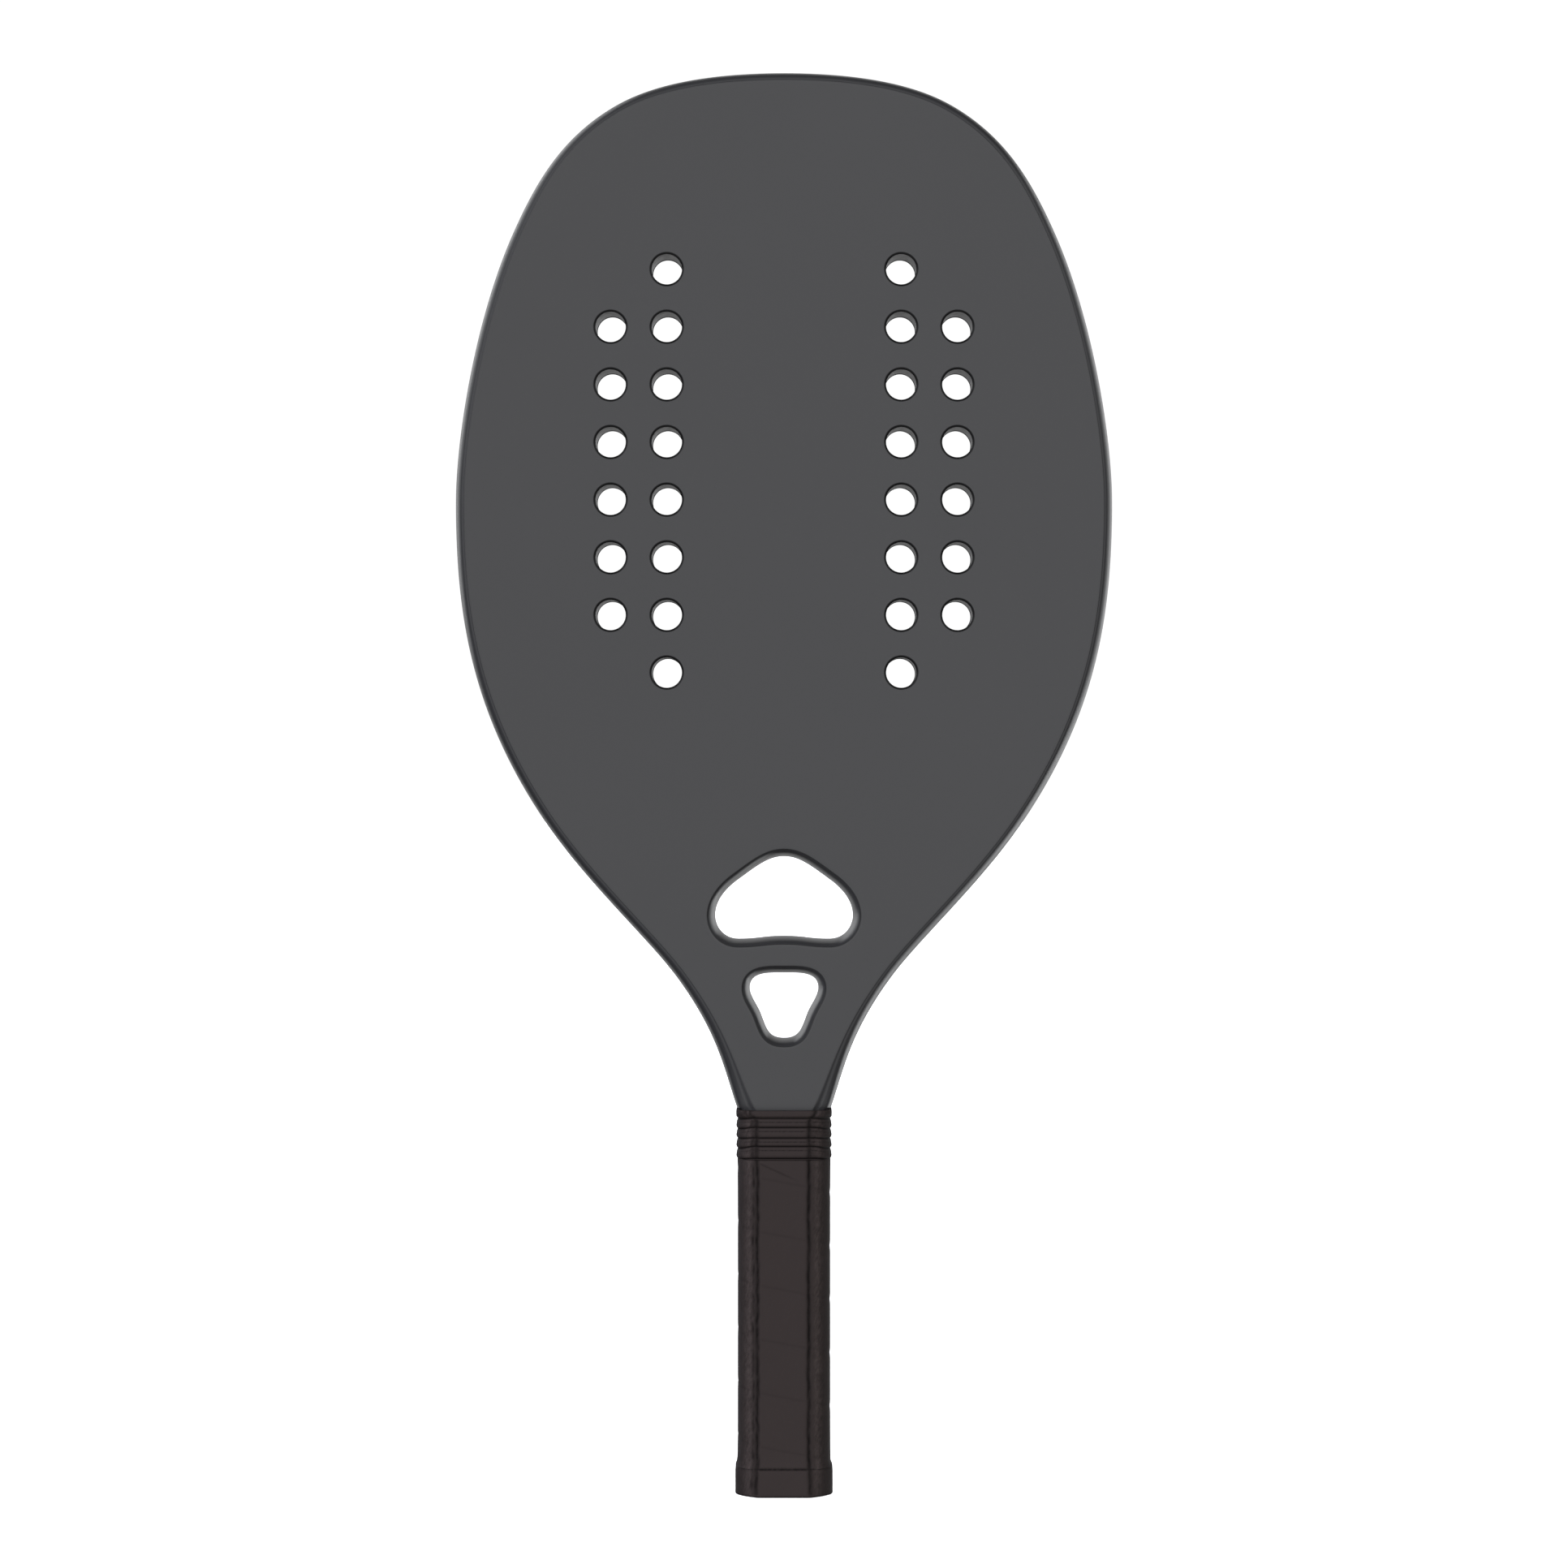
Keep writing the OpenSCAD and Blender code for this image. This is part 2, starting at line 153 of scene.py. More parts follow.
def soften(points, rounds=3):
    """Cuts the corners of an open line again and again; its ends stay."""
    p = np.array(points, float)
    for _ in range(rounds):
        a, b = p[:-1], p[1:]
        cut = np.stack([a * 0.75 + b * 0.25, a * 0.25 + b * 0.75], axis=1).reshape(-1, p.shape[1])
        p = np.vstack([p[:1], cut[1:-1], p[-1:]])
    return p


def normals_left(points, closed):
    """Unit normals to the left of the direction of travel."""
    p = points[:, :2]
    run = np.roll(p, -1, axis=0) - np.roll(p, 1, axis=0) if closed else np.gradient(p, axis=0)
    n = np.stack([-run[:, 1], run[:, 0]], axis=1)
    return n / np.linalg.norm(n, axis=1)[:, None]


def smoothstep(low, high, value):
    t = np.clip((value - low) / (high - low), 0, 1)
    return t * t * (3 - 2 * t)


def hump(distance, width):
    """A rounded bump, 1 at no distance and fading over width."""
    return np.exp(-((distance / width) ** 2))


# ---------------------------------------------- meshes

SHARP = math.radians(40)  # an edge that bends more than this stays sharp


def make_piece(name, vertices, faces, material, slot, replaced, attributes=None):
    """A smooth-shaded closed mesh from points in millimetres, riding in the place of its CAD node."""
    mesh = bpy.data.meshes.new(name)
    mesh.from_pydata((np.array(vertices, float) * MM).tolist(), [], [[int(i) for i in f] for f in faces])
    for key, values in (attributes or {}).items():
        mesh.attributes.new(key, "FLOAT", "POINT").data.foreach_set("value", np.array(values, np.float32))
    work = bmesh.new()
    work.from_mesh(mesh)
    bmesh.ops.recalc_face_normals(work, faces=work.faces)
    work.to_mesh(mesh)
    work.free()
    mesh.shade_smooth()
    mesh.set_sharp_from_angle(angle=SHARP)
    mesh.materials.append(material)
    piece = bpy.data.objects.new(name, mesh)
    bpy.context.scene.collection.objects.link(piece)
    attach(piece, "root")
    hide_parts(replaced)
    return piece


def grid(rows, columns, closed_rows=False, start=0):
    """Quads between rows of points; each row is a closed line."""
    faces = []
    for i in range(rows if closed_rows else rows - 1):
        a, b = start + i * columns, start + (i + 1) % rows * columns
        faces += [(a + j, a + (j + 1) % columns, b + (j + 1) % columns, b + j) for j in range(columns)]
    return faces


def inside(points, loop):
    """Which points lie inside a closed loop."""
    x, z = points.T
    hits = np.zeros(len(points), int)
    for (x0, z0), (x1, z1) in zip(loop, np.roll(loop, -1, axis=0)):
        if z0 != z1:
            hits += ((z0 > z) != (z1 > z)) & (x < (x1 - x0) * (z - z0) / (z1 - z0) + x0)
    return hits % 2 == 1


def fill(loops):
    """Triangles between an outer loop and the holes in it, as indices into all the loops' points."""
    points, edges, at = np.vstack(loops), [], 0
    for loop in loops:
        edges += [(at + i, at + (i + 1) % len(loop)) for i in range(len(loop))]
        at += len(loop)
    _, _, faces, origin, _, _ = delaunay_2d_cdt([Vector(p) for p in points], edges, [], 0, 1e-6, True)
    triangles = np.array([[origin[i][0] for i in f] for f in faces])
    centres = points[triangles].mean(axis=1)
    keep = inside(centres, loops[0])
    for hole in loops[1:]:
        keep &= ~inside(centres, hole)
    return triangles[keep]


def plate(name, edges, *finish):
    """A closed plate. Each edge is (line, inward directions, profile from one flat side to the other, reach),
    where a profile is a list of (how far inwards, depth). The first edge is the outline and the others are
    holes. As far as reach from the edge the paint is darkened: partly carbon showing through thin paint, and
    partly painted shade for the dark ring that the rounded edge shows."""
    vertices, faces, sides, bare = [], [], ([], []), []
    for line, inwards, profile, reach in edges:
        start, n = len(vertices), len(line)
        rings = [line + d * inwards for d, _ in profile]
        for ring, (d, y) in zip(rings, profile):
            vertices += [(x, y, z) for x, z in ring]
            # how dark the paint is near this edge: partly carbon showing through, partly painted shade
            bare += [1 - smoothstep(0.6 * reach, 1.4 * reach, d) if reach else 0.0] * n
        faces += grid(len(rings), n, start=start)
        sides[0].append((start, rings[0]))
        sides[1].append((start + (len(rings) - 1) * n, rings[-1]))
    for side in sides:
        index = np.concatenate([first + np.arange(len(ring)) for first, ring in side])
        faces += [index[t] for t in fill([ring for _, ring in side])]
    return make_piece(name, vertices, faces, *finish, {"bare": bare})


def sweep(name, line, normals, sections, closed, *finish):
    """A closed solid that carries a section of (inset, depth) along a line, with one section to a point."""
    vertices = []
    for (x, z), (nx, nz), section in zip(line, normals, sections):
        vertices += [(x - d * nx, y, z - d * nz) for d, y in section]
    n, m = len(line), len(sections[0])
    faces = grid(n, m, closed_rows=closed)
    if not closed:
        faces += [range(m), range((n - 1) * m, n * m)]
    return make_piece(name, vertices, faces, *finish)


def both_faces(half):
    """A closed section from its front half, which runs from the flank's middle round to the inner wall."""
    return np.vstack([half * [1, -1], half[:0:-1]])


def loft(name, rows, *finish, tube=False):
    """A closed solid through rows of (x, y, z) points, capped at both ends, or a tube closed on itself."""
    n, m = len(rows), len(rows[0])
    vertices = np.concatenate(rows)
    faces = grid(n, m, closed_rows=tube)
    if not tube:
        faces += [range(m), range((n - 1) * m, n * m)]
    return make_piece(name, vertices, faces, *finish)


# ---------------------------------------------- materials


class Nodes:
    """Short calls that build a node tree."""

    def __init__(self, owner, place):
        owner.use_nodes = True
        self.tree = owner.node_tree
        self.tree.nodes.clear()
        self.place = self.add("ShaderNodeTexCoord").outputs[place]

    def add(self, kind, **settings):
        node = self.tree.nodes.new(kind)
        for key, value in settings.items():
            setattr(node, key, value)
        return node

    def feed(self, socket, value):
        if isinstance(value, bpy.types.NodeSocket):
            self.tree.links.new(value, socket)
        elif socket.type == "RGBA":
            socket.default_value = (*value, 1)
        else:
            socket.default_value = value

    def maths(self, operation, *values):
        node = self.add("ShaderNodeMath", operation=operation)
        for socket, value in zip(node.inputs, values):
            self.feed(socket, value)
        return node.outputs[0]

    def span(self, value, low, high, to_low=0.0, to_high=1.0, kind="LINEAR"):
        node = self.add("ShaderNodeMapRange", interpolation_type=kind)
        keys = ("Value", "From Min", "From Max", "To Min", "To Max")
        for key, v in zip(keys, (value, low, high, to_low, to_high)):
            self.feed(node.inputs[key], v)
        return node.outputs["Result"]

    def axis(self, name):
        node = self.add("ShaderNodeSeparateXYZ")
        self.feed(node.inputs[0], self.place)
        return node.outputs[name]


class Paint(Nodes):
    """A material built round one Principled shader."""

    def __init__(self, name):
        self.material = bpy.data.materials.new(name)
        super().__init__(self.material, "Object")
        out = self.add("ShaderNodeOutputMaterial")
        self.shader = self.add("ShaderNodeBsdfPrincipled")
        self.tree.links.new(self.shader.outputs[0], out.inputs[0])

    def stretched(self, scale, turn=(0, 0, 0)):
        """The place turned first and then scaled, so that a pattern is drawn out along a turned axis."""
        turned, scaled = self.add("ShaderNodeMapping"), self.add("ShaderNodeMapping")
        self.feed(turned.inputs["Vector"], self.place)
        self.feed(turned.inputs["Rotation"], turn)
        self.feed(scaled.inputs["Vector"], turned.outputs[0])
        self.feed(scaled.inputs["Scale"], scale)
        return scaled.outputs[0]

    def noise(self, scale, detail=3, rough=0.55, place=None):
        node = self.add("ShaderNodeTexNoise")
        keys = ("Vector", "Scale", "Detail", "Roughness")
        for key, value in zip(keys, (place or self.place, scale, detail, rough)):
            self.feed(node.inputs[key], value)
        return node.outputs["Fac"]

    def cells(self, scale):
        node = self.add("ShaderNodeTexVoronoi", feature="F1")
        self.feed(node.inputs["Vector"], self.place)
        self.feed(node.inputs["Scale"], scale)
        return node.outputs["Distance"]

    def mix(self, factor, a, b):
        node = self.add("ShaderNodeMix", data_type="RGBA")
        for key, value in ((0, factor), (6, a), (7, b)):
            self.feed(node.inputs[key], value)
        return node.outputs[2]

    def mark(self, name):
        return self.add("ShaderNodeAttribute", attribute_name=name).outputs["Fac"]

    def bump(self, height, distance, strength, under=None):
        node = self.add("ShaderNodeBump")
        self.feed(node.inputs["Strength"], strength)
        self.feed(node.inputs["Distance"], distance)
        self.feed(node.inputs["Height"], height)
        if under is not None:
            self.feed(node.inputs["Normal"], under)
        return node.outputs[0]

    def seventy_thirty(self, a, b):
        """0.7 of one pattern and 0.3 of another."""
        return self.maths("ADD", self.maths("MULTIPLY", a, 0.7), self.maths("MULTIPLY", b, 0.3))

    def done(self, colour, roughness, normal):
        self.feed(self.shader.inputs["Base Color"], colour)
        self.feed(self.shader.inputs["Roughness"], roughness)
        self.feed(self.shader.inputs["Normal"], normal)
        self.shader.inputs["IOR"].default_value = 1.5
        return self.material


def shade(colour, factor):
    return tuple(c * factor for c in colour)


LACQUER, GRIP = (0.0291, 0.0288, 0.0301), (0.0312, 0.0246, 0.0238)


def lacquer():
    """Satin paint over carbon, with a fine grain, faint clouds in its tone and worn spots in its gloss. At
    drilled edges it is darkened, partly carbon showing through and partly painted shade.
    """
    p = Paint("racket_lacquer_paint")
    tone = p.seventy_thirty(p.noise(9, 4, 0.6), p.noise(1500, 2))
    colour = p.mix(p.span(tone, 0.3, 0.7), shade(LACQUER, 0.965), shade(LACQUER, 1.035))
    # darkens the paint at drilled edges: partly carbon showing through, partly painted shade for the dark
    # ring there
    colour = p.mix(p.mark("bare"), colour, shade(LACQUER, 0.15))
    roughness = p.span(p.noise(30, 5, 0.65), 0.45, 0.8, 0.30, 0.35)
    peel = p.bump(p.noise(700, 2), 0.00002, 0.3)
    return p.done(colour, roughness, p.bump(p.noise(2800, 1), 0.00001, 0.25, peel))


FINE_WAVES = 9000  # radians to a metre, so one wave each 0.7 mm


def sealed_foam():
    """The same paint over the open cells of the drilled foam, with faint rings from the drill."""
    p = Paint("core_foam_sealed")
    colour = p.mix(p.span(p.noise(300, 4), 0.3, 0.7), shade(LACQUER, 0.9), shade(LACQUER, 1.25))
    rings = p.maths("SINE", p.maths("MULTIPLY", p.axis("Y"), FINE_WAVES))
    pores = p.bump(p.cells(1100), 0.00005, 0.35)
    roughness = p.span(p.noise(500, 3), 0.3, 0.7, 0.40, 0.52)
    return p.done(colour, roughness, p.bump(rings, 0.00002, 0.15, pores))


def leather(name, base, grain):
    """Soft polyurethane leather: pebbled grain, stretched fibres and a faint bloom. Painted shade darkens it
    along its seams and grooves and in its creases, broken into streaks by noise. The slanting sides are
    mottled, with a painted highlight along their middles and painted shade towards their edges."""
    p = Paint(name)
    pebbles = p.cells(grain)
    fibres = p.noise(1100, 3, 0.65, p.stretched((1.0, 1.0, 0.35), (0, -0.5, 0)))
    tone = p.span(p.seventy_thirty(fibres, p.noise(70, 4, 0.6)), 0.34, 0.66, -1, 1)
    mottle = p.maths("MULTIPLY", p.mark("slant"), p.span(p.mark("rubbed"), 0, 0.8, 0.12, 0.42))
    level = p.maths("ADD", p.maths("MULTIPLY", tone, p.maths("MAXIMUM", mottle, 0.04)), 0.5)
    colour = p.mix(level, shade(base, 0.5), shade(base, 1.5))
    # painted highlight along the middles of the slanting sides, fading to painted shade towards their edges
    rubbed = p.mix(p.mark("rubbed"), shade(base, 0.36), shade(base, 1.78))
    slanting = p.mix(level, p.mix(0.5, rubbed, (0, 0, 0)), p.mix(0.5, rubbed, shade(base, 2.2)))
    colour = p.mix(p.mark("slant"), colour, slanting)
    # painted shade in the seams, grooves and creases, broken into streaks by noise
    shade_streaks = p.span(p.noise(900, 3, 0.7, p.stretched((1.0, 1.0, 0.3))), 0.3, 0.6, 0.55, 1.0)
    dark = p.maths("MAXIMUM", p.mark("seam"), p.maths("MULTIPLY", p.mark("fold"), shade_streaks))
    colour = p.mix(dark, colour, shade(base, 0.15))
    p.shader.inputs["Specular IOR Level"].default_value = 0.08
    roughness = p.span(fibres, 0.3, 0.75, 0.7, 0.85)
    skin = p.bump(pebbles, 0.00006, 0.3)
    return p.done(colour, roughness, p.bump(fibres, 0.00008, p.span(p.mark("slant"), 0, 1, 0.15, 0.4), skin))


def moulding(name, base, gloss):
    """Moulded rubber or plastic: a fine spark-eroded grain, flow clouds and small scuffs."""
    p = Paint(name)
    flow = p.noise(60, 3, 0.5, p.stretched((1, 1, 0.4)))
    colour = p.mix(p.span(flow, 0.3, 0.7), shade(base, 0.9), shade(base, 1.1))
    scuffs = p.span(p.noise(210, 6, 0.7, p.stretched((1, 0.3, 0.3), (0.4, 0.9, 0))), 0.56, 0.72)
    colour = p.mix(p.maths("MULTIPLY", scuffs, 0.12), colour, (0.09, 0.085, 0.085))
    roughness = p.span(p.noise(900, 2), 0.3, 0.7, gloss, gloss + 0.12)
    return p.done(colour, roughness, p.bump(p.noise(1600, 3, 0.6), 0.00004, 0.4))


TOWS_PER_M = 1000


def twill(name, base):
    """Bare carbon fibre in a 2/2 twill under clear resin."""
    p = Paint(name)
    across, up = (p.maths("FLOOR", p.maths("MULTIPLY", p.axis(k), TOWS_PER_M)) for k in "XZ")
    step = p.maths("ADD", p.maths("ADD", across, up), 4 * TOWS_PER_M)  # which keeps the sum above 0
    over = p.maths("LESS_THAN", p.maths("MODULO", step, 4), 2)
    fibre = p.noise(5000, 2, 0.5, p.stretched((1, 1, 0.05)))
    colour = p.mix(over, shade(base, 0.7), shade(base, 1.4))
    colour = p.mix(p.maths("MULTIPLY", fibre, 0.3), colour, shade(base, 2))
    return p.done(colour, p.span(fibre, 0.3, 0.7, 0.25, 0.4), p.bump(over, 0.00004, 0.4))


def foam(name, base, size):
    """Cut foam: rounded cells, with painted shade darkening their pits."""
    p = Paint(name)
    cells = p.cells(size)
    # painted shade in the cell pits
    colour = p.mix(p.span(cells, 0.15, 0.7), shade(base, 0.7), base)
    colour = p.mix(p.span(p.noise(40, 3), 0.3, 0.8, 0, 0.35), colour, shade(base, 1.15))
    return p.done(colour, p.span(p.noise(300, 2), 0.3, 0.7, 0.75, 0.92), p.bump(cells, 0.0003, 0.6))


def wire():
    """Drawn steel wire with fine lines along it."""
    p = Paint("staple_steel")
    lines = p.noise(9000, 2, 0.5, p.stretched((0.05, 1, 1)))
    colour = p.mix(lines, (0.48, 0.48, 0.5), (0.66, 0.66, 0.68))
    p.shader.inputs["Metallic"].default_value = 1.0
    return p.done(colour, p.span(lines, 0.3, 0.7, 0.28, 0.42), p.bump(lines, 0.00002, 0.3))


def cloth_tape():
    """Black tape with a plain weave."""
    p = Paint("finish_tape_cloth")
    across = p.maths("SINE", p.maths("MULTIPLY", p.axis("Z"), FINE_WAVES))
    around = p.maths("SINE", p.maths("MULTIPLY", p.maths("ADD", p.axis("X"), p.axis("Y")), FINE_WAVES))
    weave = p.maths("MULTIPLY", across, around)
    colour = p.mix(p.span(weave, -1, 1), (0.006, 0.006, 0.006), (0.02, 0.02, 0.02))
    return p.done(colour, p.span(p.noise(500, 2), 0.3, 0.7, 0.6, 0.75), p.bump(weave, 0.00005, 0.5))


paint = lacquer()
bore_paint = sealed_foam()

# ---------------------------------------------- the frame's path

HALF = box_mm("face_rear")[1][1]
CORE = box_mm("face_rear")[0][1]
COLLAR_TOP = box_mm("grip_collar")[1][2]
TIP = box_mm("frame_tube")[1][2]
NECK = COLLAR_TOP + 0.6  # the curve of the head and throat ends here, and the straight legs begin
MIDDLE = (TIP + NECK) / 2
NEAR_NECK = NECK - 0.1
FULL_LEGS = NECK - 12  # the legs have the section of the neck down to here
FLANK_REACH, NOSE_REACH = 7, 5.5  # half depths that hold the flank's middle faces, and a ring's nose
OFF_AXIS = 0.05  # points nearer the middle than this are left out of the right half
SPANS = 3  # points to each CAD corner on a smooth line

flank = flank_points(
    "frame_tube", FLANK_REACH,
    lambda c, n: n @ [c[0], 0, c[2] - MIDDLE] > 0 if c[2] > NECK else n[0] * c[0] > 0,
)
right = flank[flank[:, 0] > OFF_AXIS]
head = right[right[:, 1] > NEAR_NECK]
head = head[np.argsort(np.arctan2(head[:, 0], head[:, 1] - MIDDLE))]
head = np.vstack([flank[np.argmax(flank[:, 1])] * [0, 1, 1], head])
legs = right[right[:, 1] <= NEAR_NECK]
legs = legs[np.argsort(-legs[:, 1])]

MIRRORED = [-1, 1, 1]
head_path = resample(np.vstack([head[:0:-1] * MIRRORED, head]), SPANS)
head_normals = normals_left(head_path, False)
deep, shallow = flank[:, 2].max(), flank[:, 2].min()
blend = np.clip((deep - head_path[:, 2]) / (deep - shallow), 0, 1)

# Sections from the middle of the flank round to the skin's edge, as control points (inset, depth)
HEAD_RIM = [
    (0, 0), (0, 2.4), (0.25, 5.2), (0.8, 7.6), (1.45, 9.3), (2.2, 10.35), (2.8, 10.68), (3.15, 10.78),
    (3.4, 10.97), (3.6, 11.0),
]
NECK_RIM = [
    (0, 0), (0, 2.4), (0.15, 4.8), (0.6, 7.2), (1.35, 9.0), (3.3, 9.93), (4.1, 10.12), (4.7, 10.4),
    (5.35, 10.8), (5.8, 10.98),
]
LEG_RIM = [
    (0, 0), (0, 2.4), (0, 4.4), (0.7, 5.6), (1.5, 6.6), (2.2, 7.4), (2.6, 7.9), (3.0, 8.3),
    (3.3, 8.7), (3.6, 8.8),
]
INNER_WALL = (10.0, 8.8, 8.8)  # how far in the frame's inner wall is, for the same three
RIM_LIP = 0.4  # the least step from the rim's edge down to the foam


def rim_section(b):
    """The frame's closed section, where b is 0 at the head, 1 at the neck and 2 in the handle."""
    low = min(int(b), 1)
    rims = [soften(r) for r in (HEAD_RIM, NECK_RIM, LEG_RIM)]
    mixed = rims[low] * (1 - b + low) + rims[low + 1] * (b - low)
    wall = INNER_WALL[low] * (1 - b + low) + INNER_WALL[low + 1] * (b - low)
    floor = min(CORE, mixed[-1][1] - RIM_LIP)
    return both_faces(np.vstack([mixed, [[mixed[-1][0], floor], [wall, floor]]]))


leg_line, leg_normals = legs[:, :2], np.tile([1, 0], (len(legs), 1))
leg_shape = np.where(leg_line[:, 1] > FULL_LEGS, 1.0, 2.0)
frame_line = np.vstack([leg_line[::-1] * [-1, 1], head_path[:, :2], leg_line])
frame_normals = np.vstack([-leg_normals, head_normals, leg_normals])
frame_shapes = np.concatenate([leg_shape[::-1], blend, leg_shape])
sweep(
    "frame_rim", frame_line, frame_normals, [rim_section(b) for b in frame_shapes], False,
    paint, "racket_lacquer", "frame_tube",
)

# ---------------------------------------------- throat rings

# The ring's rounded nose, as (distance from the clear opening, depth). It ends where the skin's edge stands
RING_NOSE = [
    (-0.25, 0), (-0.25, 1.6), (0.0, 4.2), (0.5, 6.8), (1.15, 9.0), (1.75, 10.15), (2.1, 10.6), (2.35, 10.8),
]
RING_EDGE, RING_WALL = RING_NOSE[-1][0], 4.0


def opening_path(node):
    """Smooth line round a throat opening, anticlockwise, with its normals away from the opening."""
    lo, hi = box_mm(node)
    centre = (lo + hi) / 2
    nose = flank_points(node, NOSE_REACH, lambda c, n: (n * (c - centre)) @ [1, 0, 1] < 0)
    nose = nose[np.argsort(np.arctan2(nose[:, 1] - centre[2], nose[:, 0]))]
    line = resample(nose[:, :2], SPANS, closed=True)
    return line, -normals_left(line, True)


openings = {}
for node in ("upper_throat_ring", "lower_throat_ring"):
    line, away = opening_path(node)
    openings[node] = (line, away)
    half = np.vstack([soften(RING_NOSE), [[RING_EDGE, CORE], [RING_WALL, CORE]]])
    sweep(
        node.replace("throat", "opening"), line, -away, [both_faces(half)] * len(line), True,
        paint, "racket_lacquer", node,
    )

# ---------------------------------------------- face skins and the drilled core

hole_loops = plane_loops("eva_core", -CORE)
core_outline, bores = hole_loops[0], [circle_of(q) for q in hole_loops[1:]]


def circle(count):
    angles = np.linspace(0, 2 * math.pi, count, endpoint=False)
    return np.stack([np.cos(angles), np.sin(angles)], axis=1)


ROUND = circle(72)
# Edges of a skin from the foam to its flat face, as (how far inwards, depth)
HOLE_EDGE = [(0, CORE), (-0.2, CORE), (-0.2, CORE + 0.1), (0.55, HALF - 0.01), (0.7, HALF), (1.0, HALF)]
SKIN_EDGE = [(0, 10.95), (0.5, HALF), (1.2, HALF)]
OPENING_EDGE = [(0, CORE), (0, 10.82), (0.2, 10.91), (0.6, 10.98), (1.5, HALF)]
HOLD = 0.15  # a flat margin behind each edge, which keeps its shading crisp
# how far in from an opening's or a hole's edge the paint is darkened, partly carbon showing through and
# partly painted shade
BARE_AND_SHADE_AT_RING, BARE_AND_SHADE_AT_HOLE = 0.2, 0.5
SKIN_END, END_POINTS = COLLAR_TOP - 0.8, 12
BORE_RINGS = 9  # rings of points along the wall of a hole


def skin_outline():
    """The skin's edge as a closed line with inward directions, flat across its end just inside the collar."""
    edge = HEAD_RIM[-1][0] + (NECK_RIM[-1][0] - HEAD_RIM[-1][0]) * blend
    inset = head_path[:, :2] - edge[:, None] * head_normals
    foot = legs[0][0] - NECK_RIM[-1][0]
    across = np.array([(x, SKIN_END) for x in np.linspace(foot, -foot, END_POINTS)])
    inwards = np.zeros_like(across)
    inwards[0], inwards[-1] = (-1, 0), (1, 0)
    return np.vstack([inset, across]), np.vstack([-head_normals, inwards])


def skin_profile(points, side):
    line = soften(points)
    line = np.vstack([line, [line[-1] + [HOLD, 0]]])
    return [(d, side * y) for d, y in line]


for node, name, side in (("face_front", "front_skin", FRONT), ("face_rear", "rear_skin", REAR)):
    line, inwards = skin_outline()
    edges = [(line, inwards, [(0, side * CORE)] + skin_profile(SKIN_EDGE, side), 0)]
    for line, away in openings.values():
        edges.append((line + RING_EDGE * away, away, skin_profile(OPENING_EDGE, side), BARE_AND_SHADE_AT_RING))
    for centre, radius in bores:
        edges.append((centre + radius * ROUND, ROUND, skin_profile(HOLE_EDGE, side), BARE_AND_SHADE_AT_HOLE))
    plate(name, edges, paint, "racket_lacquer", node)

depths = np.linspace(-CORE, CORE, BORE_RINGS)
edges = [(core_outline, np.zeros_like(core_outline), [(0, y) for y in depths[[0, -1]]], 0)]
edges += [(centre + radius * ROUND, ROUND, [(0, y) for y in depths], 0) for centre, radius in bores]
plate("drilled_core", edges, bore_paint, "core_foam", "eva_core")

# ---------------------------------------------- the octagonal handle

grip_lo, grip_hi = box_mm("grip_wrap")
grip_corners = abs(np.array([v.co for v in nodes["grip_wrap"].data.vertices]) / MM)
flat_half = grip_corners[grip_corners[:, 1] > grip_hi[1] - 0.01][:, 0].max()
side_half = grip_corners[grip_corners[:, 0] > grip_hi[0] - 0.01][:, 1].max()
cap_hi, seal_hi = box_mm("butt_cap")[1], box_mm("butt_seal")[1]
COLLAR_FOOT = box_mm("grip_collar")[0][2]
GRIP_FOOT = grip_lo[2] - 1.2  # the band laps over the cap's shoulder
GRIP_TOP = COLLAR_FOOT + 0.8  # and up to the collar's lowest groove
BULGE = 1.5
ARC_POINTS = 9  # on each rounded corner


def octagon(offset, count, front_round=2.0, side_round=8.0, widen=0.0, bulge=BULGE):
    """Points round the handle's octagon moved outwards by offset, anticlockwise from the left as seen from
    above. widen moves the front and rear corners apart, and bulge swells the slanting sides."""
    w, d = grip_hi[0] + offset, grip_hi[1] + offset
    run = np.array([flat_half - grip_hi[0], grip_hi[1] - side_half])
    n = np.array([run[1], -run[0]]) / np.linalg.norm(run)
    reach = n @ [flat_half + widen, grip_hi[1]] + offset
    a = np.array([(reach - n[1] * d) / n[0], d])
    b = np.array([w, (reach - n[0] * w) / n[1]])
    corners = np.array([-b, -a, a * [1, -1], b * [1, -1], b, a, a * [-1, 1], b * [-1, 1]])
    line = []
    for i, c in enumerate(corners):
        radius = side_round if i % 4 in (0, 3) else front_round
        before, after = corners[i - 1] - c, corners[(i + 1) % 8] - c
        before, after = before / np.linalg.norm(before), after / np.linalg.norm(after)
        half_angle = math.acos(np.clip(before @ after, -1, 1)) / 2
        middle = c + (before + after) / np.linalg.norm(before + after) * radius / math.sin(half_angle)
        start, end = (c + way * radius / math.tan(half_angle) - middle for way in (before, after))
        for t in np.linspace(0, 1, ARC_POINTS):
            p = start * (1 - t) + end * t
            line.append(middle + p / np.linalg.norm(p) * radius)
    line = np.vstack([[[-w, 0]], line, [[-w, 0]]])
    length = np.concatenate([[0], np.cumsum(np.linalg.norm(np.diff(line, axis=0), axis=1))])
    want = np.linspace(0, length[-1], count, endpoint=False)
    line = np.stack([np.interp(want, length, line[:, i]) for i in (0, 1)], axis=1)
    t = np.clip((abs(line[:, 0]) - a[0]) / (b[0] - a[0]), 0, 1)
    return line + bulge * (4 * t * (1 - t))[:, None] * np.sign(line) * n


def outward(line):
    return -normals_left(line, True)


def level(line, z):
    return np.column_stack([line, np.broadcast_to(z, len(line))])


def wave(z, *lengths):
    """A slow irregular wave between about -1 and 1."""
    return sum(math.sin(z / q + 3 * q) for q in lengths) / len(lengths)


